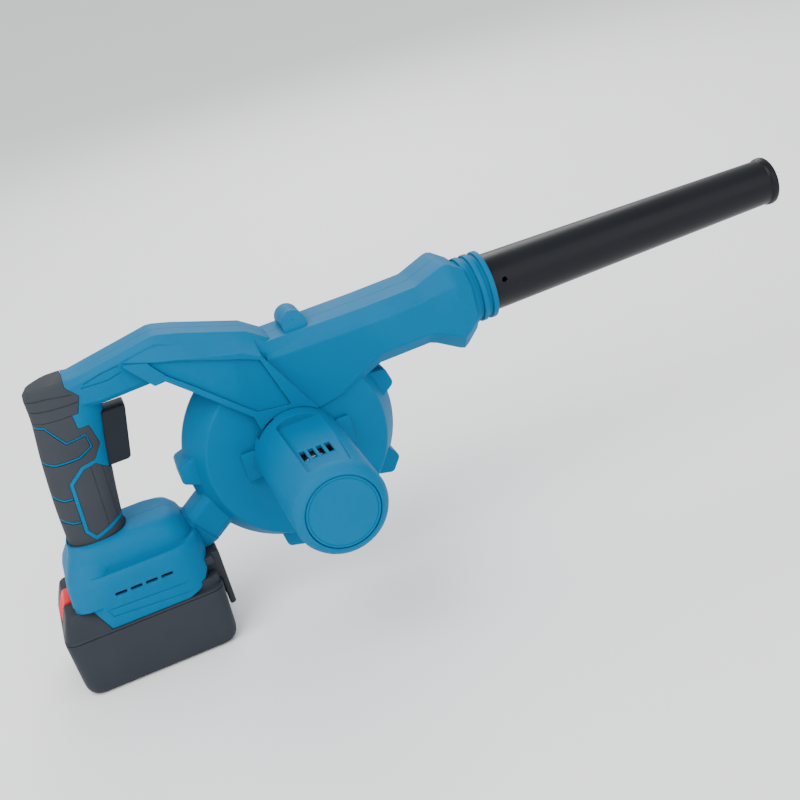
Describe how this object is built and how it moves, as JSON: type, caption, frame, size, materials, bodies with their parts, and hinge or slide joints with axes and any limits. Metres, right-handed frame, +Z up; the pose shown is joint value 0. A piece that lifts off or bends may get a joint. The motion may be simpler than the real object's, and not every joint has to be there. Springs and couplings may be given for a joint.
{
  "type": "leaf blower",
  "caption": "Cordless leaf blower: round fan housing with a side motor pod, long tapered nozzle, loop handle with rubber grip and trigger, and a slide-on battery pack.",
  "frame": {"origin": "a point on the battery pack's flat underside, in the housing's middle plane, a few millimetres behind the pack's middle", "axes": "+X the way the air leaves the nozzle, +Z up, -Y to the motor pod, +Y to the air intake"},
  "size_m": [0.571, 0.171, 0.2155],
  "materials": {
    "housing_plastic": "moulded blue plastic, fine satin texture",
    "nozzle_plastic": "black, semi-gloss, drawn marks along its length",
    "grip_rubber": "dark grey moulded rubber, fine grain",
    "pack_plastic": "dark grey, fine spark-eroded texture",
    "button_plastic": "red, satin",
    "cell_shell": "wrapped cell can, blue sleeve",
    "circuit_board": "green board, satin lacquer",
    "copper_parts": "copper, satin",
    "brass_parts": "brass, satin",
    "black_plastic": "black moulded plastic",
    "fan_plastic": "black glass-filled plastic",
    "magnet_iron": "dark sintered",
    "red_wire": "red insulation",
    "black_wire": "black insulation",
    "steel_parts": "zinc-plated steel"
  },
  "bodies": {
    "housing": {"right_housing": "housing_plastic", "left_housing": "housing_plastic", "housing_screw_1": "steel_parts", "housing_screw_2": "steel_parts", "housing_screw_3": "steel_parts", "housing_screw_4": "steel_parts", "housing_screw_5": "steel_parts", "housing_screw_6": "steel_parts", "housing_screw_7": "steel_parts", "grip_wrap": "grip_rubber", "grip_front_pad": "grip_rubber", "grip_top_cap": "grip_rubber", "switch_module": "black_plastic", "trigger_spring": "steel_parts", "terminal_block": "black_plastic", "terminal_blade_plus": "brass_parts", "terminal_blade_minus": "brass_parts", "control_board": "circuit_board", "supply_wire_red": "red_wire", "supply_wire_black": "black_wire", "motor_wire_red": "red_wire", "motor_wire_black": "black_wire", "motor_pod": "housing_plastic", "pod_end_cap": "housing_plastic", "motor_can": "steel_parts", "motor_end_bell": "black_plastic", "front_bearing": "steel_parts", "rear_bearing": "steel_parts", "magnet_upper": "magnet_iron", "magnet_lower": "magnet_iron", "brush_front": "magnet_iron", "brush_rear": "magnet_iron", "outlet_sleeve": "housing_plastic"},
    "rotor": {"motor_shaft": "steel_parts", "rotor_core": "copper_parts", "commutator": "copper_parts", "impeller": "fan_plastic", "impeller_nut": "brass_parts"},
    "nozzle": {"nozzle_tube": "nozzle_plastic"},
    "intake": {"intake_cover": "housing_plastic"},
    "trigger": {"trigger": "black_plastic", "switch_plunger": "brass_parts"},
    "battery": {"battery_lower_case": "pack_plastic", "battery_upper_case": "pack_plastic", "cell_1_1": "cell_shell", "cell_1_2": "cell_shell", "cell_1_3": "cell_shell", "cell_1_4": "cell_shell", "cell_1_5": "cell_shell", "cell_2_1": "cell_shell", "cell_2_2": "cell_shell", "cell_2_3": "cell_shell", "cell_2_4": "cell_shell", "cell_2_5": "cell_shell", "battery_board": "circuit_board", "battery_contact_plus": "copper_parts", "battery_contact_minus": "copper_parts", "button_spring": "steel_parts"},
    "button": {"battery_button": "button_plastic"}
  },
  "joints": [
    {"name": "fan_spin", "type": "hinge", "parent": "housing", "child": "rotor", "pos_m": [0.1343, 0, 0.1128], "axis": [0, 1, 0], "continuous": true},
    {"name": "trigger_pull", "type": "slide", "parent": "housing", "child": "trigger", "axis": [-1, 0, 0], "range_m": [0, 0.0065], "stiffness_N_per_m": 1000, "springref_m": -0.002, "deforming": ["trigger_spring"]},
    {"name": "nozzle_twist", "type": "hinge", "parent": "housing", "child": "nozzle", "pos_m": [0.261, 0, 0.1667], "axis": [1, 0, 0], "range_deg": [0, 30]},
    {"name": "intake_twist", "type": "hinge", "parent": "housing", "child": "intake", "pos_m": [0.1343, 0.027, 0.1128], "axis": [0, 1, 0], "range_deg": [0, 20]},
    {"name": "battery_slide", "type": "slide", "parent": "housing", "child": "battery", "axis": [-1, 0, 0], "range_m": [0, 0.09]},
    {"name": "button_press", "type": "slide", "parent": "battery", "child": "button", "axis": [0, 0, -1], "range_m": [0, 0.003], "stiffness_N_per_m": 800, "springref_m": -0.002, "deforming": ["button_spring"]}
  ]
}
